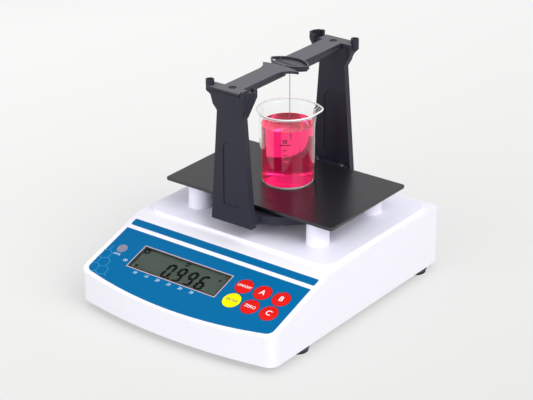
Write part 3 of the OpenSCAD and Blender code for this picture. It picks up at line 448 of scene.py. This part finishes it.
def clear_material(name, code, ior, rough=0.0, wave=0.0, glow=None, clear=1.0):
    # Clear glass, acrylic or water: smooth, with a faint waviness from its making. A dye may be given a
    # painted glow, which is no lamp
    material, shader, place = new_material(name)
    shader.inputs["Base Color"].default_value = linear(code)
    shader.inputs["Transmission Weight"].default_value = clear
    shader.inputs["Roughness"].default_value = rough
    shader.inputs["IOR"].default_value = ior
    if glow:
        # Painted light: the dye glows a little everywhere, and most where its top nears the front wall,
        # standing in for the light seen through it
        everywhere, most = 0.08, 0.55
        shader.inputs["Emission Color"].default_value = linear(glow)
        normal = add_node(material, "ShaderNodeNewGeometry").outputs["Normal"]
        facing = add_node(material, "ShaderNodeSeparateXYZ", {"Vector": normal})
        height = facing.outputs["Z"]
        upward = add_node(material, "ShaderNodeMapRange", {"Value": height, "From Min": 0.4, "From Max": 0.9})
        along = add_node(material, "ShaderNodeSeparateXYZ", {"Vector": place})
        limits = {"From Min": BEAKER_Y + 0.001, "From Max": BEAKER_Y - 0.016, "To Max": most}
        near = add_node(material, "ShaderNodeMapRange", {"Value": along.outputs["Y"], **limits})
        both = {0: upward.outputs["Result"], 1: near.outputs["Result"]}
        top = add_node(material, "ShaderNodeMath", both, operation="MULTIPLY")
        total = add_node(material, "ShaderNodeMath", {0: top.outputs[0], 1: everywhere}, operation="ADD")
        link(material, total.outputs[0], shader, "Emission Strength")
    if wave:
        spread = {"Vector": place, "Scale": per(18.2), "Detail": 1.0}
        ripples = add_node(material, "ShaderNodeTexNoise", spread)
        rise = {"Height": ripples.outputs["Fac"], "Strength": wave, "Distance": 0.4 * MM}
        bump = add_node(material, "ShaderNodeBump", rise)
        link(material, bump.outputs["Normal"], shader, "Normal")
    return material


white_abs = moulded_abs("moulded_abs_white", "F3F2FA")
tray_abs = moulded_abs("moulded_abs_tray", "EFEEFC")
pillar_coat = powder_coat("powder_coat_dark", "282835", shine=0.3)
# The arms' flat tops carry a painted sheen, paler than the coat
arm_coat = powder_coat("powder_coat_arm", "2A2B37", rough=0.42, top_sheen_code="616067", shine=0.4)
platform_oxide = anodised_sheet("anodised_black_sheet", "17161A")
blue_film = printed_film("printed_film_blue", "01659A")
red_film = printed_film("printed_film_red", "DA1C19")
yellow_film = printed_film("printed_film_yellow", "FFF200")
white_ink = screen_ink("screen_ink_white", "F4F6F8")
pale_ink = screen_ink("screen_ink_pale_blue", "C4E2F2")
comb_ink = screen_ink("screen_ink_comb", "3F97CC")
navy_ink = screen_ink("screen_ink_navy", "1B2A6B")
pink_ink = screen_ink("screen_ink_bezel", "C9B4BA")
border_ink = screen_ink("screen_ink_border", "3A3834")
segment_ink = screen_ink("display_segments", "0B0C0C", rough=0.4)
display_film = screen_ink("display_film", "515C54", rough=0.3)
steel_zinc = bare_metal("zinc_plate_bright", "C9CACF")
steel_wire = bare_metal("stainless_wire", "B9B7C0", rough=0.22)
steel_black = powder_coat("black_oxide_screw", "18181C")
bright_alu = bare_metal("milled_aluminium", "C4C6CA", rough=0.35)
turned_brass = bare_metal("turned_brass", "C9A45A", rough=0.3)
grey_paint = powder_coat("zinc_grey_plate", "9FA1A6")
foot_plastic = moulded_abs("moulded_foot_plastic", "3E3E4C", rough=0.5)
pad_rubber = soft_rubber("moulded_rubber", "1D1D22")
socket_plastic = moulded_abs("moulded_socket_black", "151518", rough=0.5)
bezel_plastic = moulded_abs("moulded_bezel_dark", "2A2C2B", rough=0.5)
board_mask = printed_film("solder_mask_green", "1C5A38")
circuit_film = printed_film("polyester_film", "C9CEC9")
# The window is coated against glare, so it hardly mirrors the room
window_acrylic = clear_material("acrylic_window", "FAFCFB", 1.1)
level_acrylic = clear_material("acrylic_level", "A4A6BA", 1.3, rough=0.2, clear=0.45)
level_fluid = clear_material("level_fluid", "D9E6B0", 1.36)
# A weak index for the thin wall keeps a grey veil of reflections off the dye behind it
beaker_glass = clear_material("borosilicate_glass", "FCFEFE", 1.28, wave=0.02)
glass_enamel = screen_ink("glass_enamel", "7A1638")
sinker_glass = clear_material("ground_glass", "FFFFFF", 1.01)
# Mostly white and only a little clear: a painted highlight for the light that the rim bead and the heel of
# the glass catch
rim_highlight_glass = clear_material("rim_painted_highlight", "FFFDFF", 1.47, rough=0.05, clear=0.12)
# The dye's glow is painted light
dyed_water = clear_material("dyed_water", "FF2A78", 1.34, glow="FF1058")

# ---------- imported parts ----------

FINISH = {
    "upper_housing": white_abs, "bottom_plate": grey_paint, "housing_screws": steel_zinc,
    "top_tray": tray_abs, "platform_posts": tray_abs, "tray_screws": steel_zinc,
    "platform": platform_oxide, "platform_pins": steel_zinc, "panel_label": blue_film,
    "header_strip": blue_film, "display_window": window_acrylic, "display_bezel": bezel_plastic,
    "display_glass": display_film, "display_board": board_mask, "display_screws": steel_zinc,
    "key_on_off": red_film, "key_a": red_film, "key_b": red_film, "key_enter": yellow_film,
    "key_zero": red_film, "key_c": red_film, "key_circuit": circuit_film, "key_domes": steel_zinc,
    "level_window": level_acrylic, "level_cup": white_abs, "level_vial": level_fluid,
    "load_cell": bright_alu, "cell_base": bright_alu, "cell_bolts": steel_zinc, "pan_carrier": bright_alu,
    "main_board": board_mask, "board_screws": steel_zinc, "dc_inlet": socket_plastic,
    "data_port": steel_zinc, "foot_nuts": turned_brass, "pan": pillar_coat, "front_pillar": pillar_coat,
    "rear_pillar": pillar_coat, "front_arm": arm_coat, "rear_arm": arm_coat, "arm_screws": steel_black,
    "pillar_screws": steel_zinc, "hanger_wire": steel_wire, "sinker": sinker_glass,
    "beaker": beaker_glass, "sample_liquid": dyed_water,
}
for number in "1234":
    FINISH["foot_pad_" + number] = pad_rubber
    FINISH["foot_screw_" + number] = foot_plastic

# Edges that turn more than this stay sharp, or are rounded
SHARP = math.radians(32)

# Radius in millimetres of the soft edges that each moulded or cut part has
EDGE = {
    "upper_housing": 2.4, "top_tray": 1.4, "platform_posts": 0.8, "platform": 0.5, "front_pillar": 1.2,
    "rear_pillar": 1.2, "front_arm": 0.6, "rear_arm": 0.5, "pan": 0.8, "panel_label": 0.15,
    "header_strip": 0.15, "beaker": 0.3, "dc_inlet": 0.3, "data_port": 0.3, "pan_carrier": 0.4,
    "load_cell": 0.4,
}


def dress(name, material):
    """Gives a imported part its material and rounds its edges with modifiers, leaving its mesh alone."""
    part = nodes[name]
    for place in part.material_slots:
        place.material = material
    only(part)
    if part.data.has_custom_normals:
        bpy.ops.mesh.customdata_custom_splitnormals_clear()
    bpy.ops.object.shade_smooth()
    join = part.modifiers.new("join", "WELD")
    join.merge_threshold = 0.00002
    if name not in EDGE:
        split = part.modifiers.new("creases", "EDGE_SPLIT")
        split.split_angle = SHARP
        return
    faces = part.modifiers.new("faces", "DECIMATE")
    faces.decimate_type = "DISSOLVE"
    faces.angle_limit = math.radians(0.4)
    edge = part.modifiers.new("edges", "BEVEL")
    edge.width = EDGE[name] * MM
    edge.segments = 4 if EDGE[name] > 1 else 2
    edge.limit_method = "ANGLE"
    edge.angle_limit = SHARP
    edge.use_clamp_overlap = True
    edge.miter_outer = "MITER_ARC"
    even = part.modifiers.new("evening", "WEIGHTED_NORMAL")
    even.weight = 80


for name, material in FINISH.items():
    dress(name, material)


# ---------- panel print ----------


def on_panel(x, down, height):
    """Place and turn of a point of the sloping panel: across, down from the crease and up, in millimetres."""
    turn = Matrix.Rotation(PANEL_ANGLE, 4, "X")
    place = Matrix.Translation((x * MM, -down * MM, height * MM))
    return Matrix.Translation((0, CREASE_Y, HOUSING_TOP)) @ turn @ place


def lettering(words, size, x, down, height, lean=0.0, bold=0.03):
    """A printed word: text made into a thin mesh and laid on the panel."""
    deselect_all()
    bpy.ops.object.text_add()
    word = bpy.context.object
    word.data.body = words
    word.data.size = size * MM
    word.data.align_x = "CENTER"
    word.data.align_y = "CENTER"
    word.data.shear = lean
    word.data.extrude = 0.02 * MM
    word.data.offset = bold * MM
    word.data.resolution_u = 4
    bpy.ops.object.convert(target="MESH")
    word = bpy.context.object
    word.matrix_world = on_panel(x, down, height)
    return word


def joined(pieces):
    """Makes several pieces one mesh."""
    for piece in pieces:
        settle(piece)
    deselect_all()
    for piece in pieces:
        piece.select_set(True)
    bpy.context.view_layer.objects.active = pieces[0]
    bpy.ops.object.join()
    return bpy.context.object


# Key, words, across, down the label, size of the words, ink, lean
KEYS = (
    ("on_off", "ON/OFF", 47.4, 20.8, 3.9, white_ink, 0.25),
    ("a", "A", 67.4, 20.8, 8.0, white_ink, 0.0),
    ("b", "B", 87.4, 20.8, 8.0, white_ink, 0.0),
    ("enter", "ENTER", 47.4, 39.6, 4.1, navy_ink, 0.25),
    ("zero", "ZERO", 67.4, 39.6, 4.6, white_ink, 0.0),
    ("c", "C", 87.4, 39.6, 8.0, white_ink, 0.0),
)
for key, words, x, down, size, ink, lean in KEYS:
    word = lettering(words, size, x, LABEL_START + down, KEY_TOP, lean)
    finish_piece(word, "legend_" + key, "key_%s_body" % key, ink)

marks = [lettering("LEVEL", 3.1, -89.3, LABEL_START + 33.4, PRINT_FACE, 0.2)]
marks += [
    lettering(str(10 + 5 * count), 4.2, x, LABEL_START + 46.6, PRINT_FACE, 0.2)
    for count, x in enumerate((-57.5, -44.1, -31.3, -18.2, -5.5, 7.4))
]
marks += [lettering("00", 4.2, -76.6, LABEL_START + 37.1, PRINT_FACE, 0.2)]
finish_piece(joined(marks), "legend_marks", "housing", pale_ink)


def printed_frame(name, wide, tall, line, height, ink):
    """A thin line printed around the display window, on the label or on the window itself."""
    deselect_all()
    bpy.ops.mesh.primitive_plane_add(size=1)
    frame_line = bpy.context.object
    bpy.ops.object.mode_set(mode="EDIT")
    bpy.ops.transform.resize(value=(wide * MM, tall * MM, 1), center_override=(0, 0, 0))
    bpy.ops.mesh.inset(thickness=line * MM)
    bpy.ops.mesh.delete(type="FACE")
    bpy.ops.mesh.select_all(action="SELECT")
    bpy.ops.mesh.extrude_region_move(TRANSFORM_OT_translate={"value": (0, 0, 0.04 * MM)})
    bpy.ops.mesh.select_all(action="SELECT")
    bpy.ops.mesh.normals_make_consistent(inside=False)
    bpy.ops.object.mode_set(mode="OBJECT")
    frame_line.matrix_world = on_panel(WINDOW_X, WINDOW_DOWN, height)
    finish_piece(frame_line, name, "housing", ink)


printed_frame("window_line", 101.6, 29.6, 0.8, LABEL_FACE + 0.01, pink_ink)
printed_frame("window_border", 99.6, 27.6, 1.3, 0.01, border_ink)

# ---------- display ----------


def segment(length, thick):
    """One bar of a digit: a strip whose two ends are drawn out to points."""
    deselect_all()
    bpy.ops.mesh.primitive_plane_add(size=1)
    bar = bpy.context.object
    body = length - thick
    bpy.ops.object.mode_set(mode="EDIT")
    bpy.ops.transform.resize(value=(body * MM, thick * MM, 1), center_override=(0, 0, 0))
    for side in (-1, 1):
        select_where(bar, "EDGE", lambda p, side=side: p.x * side > body * MM * 0.45)
        bpy.ops.mesh.extrude_edges_move(TRANSFORM_OT_translate={"value": (side * thick / 2 * MM, 0, 0)})
        bpy.ops.mesh.merge(type="CENTER")
    bpy.ops.mesh.select_all(action="SELECT")
    bpy.ops.mesh.extrude_region_move(TRANSFORM_OT_translate={"value": (0, 0, 0.05 * MM)})
    bpy.ops.mesh.select_all(action="SELECT")
    bpy.ops.mesh.normals_make_consistent(inside=False)
    bpy.ops.object.mode_set(mode="OBJECT")
    return bar


def copy_of(piece):
    only(piece)
    bpy.ops.object.duplicate(linked=False)
    return bpy.context.object


# Cells of the honeycomb in the label's left corner: across, down the label, the sides drawn, share of a side
COMB_R = 6.2
COMB = (
    (-99.4, 37.6, (0, 1, 2, 4, 5), 1.0), (-94.0, 46.9, (0, 1, 3, 4, 5), 1.0),
    (-88.6, 56.2, (0, 1, 3, 4, 5), 1.0),
    (-104.8, 28.3, (0,), 0.9), (-104.2, 46.6, (5,), 0.7), (-99.0, 56.0, (5,), 0.7), (-78.4, 55.9, (4,), 0.7),
)


def comb_lines():
    """The honeycomb: one printed line, copied to the sides of each cell."""
    lines = []
    for across, down, sides, share in COMB:
        line = segment(COMB_R * share, 0.55)
        for side in sides:
            out = math.radians(60 * side)
            copy = copy_of(line)
            turn = Matrix.Rotation(out + math.pi / 2, 4, "Z")
            reach = COMB_R * math.cos(math.pi / 6)
            middle = (across + reach * math.cos(out), LABEL_START + down - reach * math.sin(out))
            copy.data.transform(on_panel(*middle, LABEL_FACE + 0.01) @ turn)
            lines.append(copy)
        bpy.data.objects.remove(line)
    finish_piece(joined(lines), "printed_comb", "housing", comb_ink)


comb_lines()

# Bars of a digit by name: middle across, middle up, upright or not, in half digit widths and heights
BARS = {
    "top": (0, 1, False), "middle": (0, 0, False), "bottom": (0, -1, False), "left_high": (-1, 0.5, True),
    "right_high": (1, 0.5, True), "left_low": (-1, -0.5, True), "right_low": (1, -0.5, True),
}
DIGITS = {
    "0": ("top", "bottom", "left_high", "right_high", "left_low", "right_low"),
    "9": ("top", "middle", "bottom", "left_high", "right_high", "right_low"),
    "6": ("top", "middle", "bottom", "left_high", "left_low", "right_low"),
}

# Small ring signs of the display: across, down the label, radius and weight. Then the two strokes' middle
ICONS = ((-65.5, 18.3, 2.3, 0.95), (-63.3, 37.4, 0.6, 0.8), (21.9, 22.7, 0.6, 0.65))
STROKES = (-18.6, 17.6)


def display_marks():
    """The digits, made of one upright and one level bar, their point and the small signs around them."""
    wide, tall, thick, lean = 6.2, 16.2, 3.0, 0.085
    across = segment(wide, thick)
    upright = segment(tall / 2, thick)
    bars = []
    down = LABEL_START + 31.6
    for place, digit in zip((-30.1, -17.5, -5.0, 7.8), "0996"):
        for name in DIGITS[digit]:
            dx, dy, stands = BARS[name]
            bar = copy_of(upright if stands else across)
            slope = Matrix.Identity(4)
            slope[0][1] = lean
            turn = Matrix.Rotation(math.radians(90), 4, "Z") if stands else Matrix.Identity(4)
            at = Matrix.Translation((dx * wide / 2 * MM, dy * tall / 2 * MM, 0))
            bar.data.transform(on_panel(place, down, DISPLAY_FACE) @ slope @ at @ turn)
            bars.append(bar)
    point = copy_of(upright)
    point.data.transform(on_panel(-25.0, down + tall / 2, DISPLAY_FACE) @ Matrix.Scale(0.3, 4, (1, 0, 0)))
    bars.append(point)
    # The small signs around the digits: a ring, two dots and two short strokes
    for x, at, ring, weight in ICONS:
        deselect_all()
        bpy.ops.mesh.primitive_torus_add(
            major_segments=32, minor_segments=8, major_radius=ring * MM, minor_radius=weight * MM)
        sign = bpy.context.object
        flat = Matrix.Scale(0.03, 4, (0, 0, 1))
        sign.data.transform(on_panel(x, LABEL_START + at, DISPLAY_FACE + 0.03) @ flat)
        bars.append(sign)
    for shift in (-1.3, 1.3):
        stroke = copy_of(across)
        thin = Matrix.Scale(0.5, 4, (0, 1, 0))
        stroke.data.transform(on_panel(STROKES[0], LABEL_START + STROKES[1] + shift, DISPLAY_FACE) @ thin)
        bars.append(stroke)
    for spare in (across, upright):
        bpy.data.objects.remove(spare)
    finish_piece(joined(bars), "display_digits", "housing", segment_ink)


display_marks()

# ---------- beaker and sample ----------


def turned_beaker():
    """The glass, drawn up from its floor, flared at the rim and pulled out to a spout."""
    low = PLATFORM_TOP
    floor = BEAKER_R - HEEL_R
    rings = [(floor, low + 0.05 * MM)]
    for step in range(1, 7):
        bend = math.radians(15 * step)
        rings.append((floor + HEEL_R * math.sin(bend), low + HEEL_R - HEEL_R * math.cos(bend)))
    rings += [(BEAKER_R, low + share * WALL_TOP) for share in (0.2, 0.4, 0.6, 0.8, 0.9, 1.0)]
    rings += [(radius, low + height) for radius, height in RIM_FLARE]
    glass = ring_wall(rings, 144, (0, BEAKER_Y))
    away = Vector((math.cos(SPOUT_TURN), math.sin(SPOUT_TURN), 0))

    def off_spout(p):
        """Angle between a point and the spout's direction, seen from above."""
        return abs(math.remainder(math.atan2(p.y - BEAKER_Y, p.x) - SPOUT_TURN, 2 * math.pi))

    bpy.ops.object.mode_set(mode="EDIT")
    for reach, pull, height in SPOUT_PULLS:
        start = low + height
        select_where(glass, "VERT", lambda p, reach=reach, start=start: off_spout(p) < reach and p.z > start)
        bpy.ops.transform.translate(value=away * pull * MM)
    bpy.ops.object.mode_set(mode="OBJECT")
    rim = copy_of(glass)
    bpy.ops.object.mode_set(mode="EDIT")
    select_where(rim, "VERT", lambda p: p.z < low + RIM_LINE)
    bpy.ops.mesh.delete(type="VERT")
    bpy.ops.object.mode_set(mode="OBJECT")
    bpy.ops.object.convert(target="CURVE")
    rim = bpy.context.object
    rim.data.bevel_depth = RIM_BEAD_R
    rim.data.bevel_resolution = 3
    bpy.ops.object.convert(target="MESH")
    rim = bpy.context.object
    smooth(rim, 60)
    finish_piece(rim, "glass_rim", "beaker_body", rim_highlight_glass)
    apply_modifier(glass, "SOLIDIFY", thickness=GLASS_T, offset=-1)
    lip = {"width": 0.4 * MM, "segments": 4, "limit_method": "ANGLE", "angle_limit": math.radians(50)}
    apply_modifier(glass, "BEVEL", **lip)
    smooth(glass, 60)
    finish_piece(glass, "glass_beaker", "beaker_body", beaker_glass, ["beaker"])


def glass_heel():
    """The bright line where the light gathers in the heel of the glass."""
    deselect_all()
    bpy.ops.mesh.primitive_torus_add(
        location=(0, BEAKER_Y, PLATFORM_TOP + 0.95 * MM), major_segments=144, minor_segments=12,
        major_radius=23.3 * MM, minor_radius=0.6 * MM,
    )
    ring = bpy.context.object
    smooth(ring, 60)
    finish_piece(ring, "glass_heel", "beaker_body", rim_highlight_glass)


def poured_sample():
    """The sample fills the glass and climbs a little at the wall."""
    low = PLATFORM_TOP + GLASS_T
    wide = BEAKER_R - GLASS_T + 0.04 * MM
    top = PLATFORM_TOP + SAMPLE_TOP
    rings = [(wide - 0.0028, low), (wide - 0.0014, low + 0.0004)]
    rings += [(wide - 0.0005, low + 0.0013), (wide, low + 0.0028)]
    rings += [(wide, low + share * (top - low)) for share in (0.25, 0.5, 0.75)]
    rings += [(wide, top + 0.3 * MM), (wide - 0.0002, top + 0.12 * MM), (wide - 0.0007, top)]
    water = ring_wall(rings, 128, (0, BEAKER_Y), closed_top=True)
    smooth(water, 50)
    finish_piece(water, "dyed_sample", "beaker_body", dyed_water, ["sample_liquid"])


def graduations():
    """Short enamelled lines and a number, on the side of the glass that faces the camera."""
    marks = []
    stand = Matrix.Translation((0, BEAKER_Y, PLATFORM_TOP))
    facing = Matrix.Rotation(math.radians(37.5), 4, "Z") @ Matrix.Rotation(math.radians(90), 4, "X")
    # Height above the platform and length of each line. The print lies a little into the glass
    for height, long in ((34, 4.0), (39, 4.0), (44, 10.0), (49, 4.0)):
        line = segment(long, 0.5 + long / 25)
        place = Matrix.Translation((-2.8 * MM, height * MM, 24.62 * MM))
        line.data.transform(stand @ facing @ place)
        marks.append(line)
    number = lettering("50", 4.6, 0, 0, 0, bold=0.12)
    place = Matrix.Translation((-3.0 * MM, 47.0 * MM, 24.4 * MM))
    number.matrix_world = stand @ facing @ place
    marks.append(number)
    finish_piece(joined(marks), "glass_marks", "beaker_body", glass_enamel)


turned_beaker()
glass_heel()
graduations()
poured_sample()

set_camera()
set_light()
set_ground()
bpy.context.scene.view_settings.view_transform = "Standard"
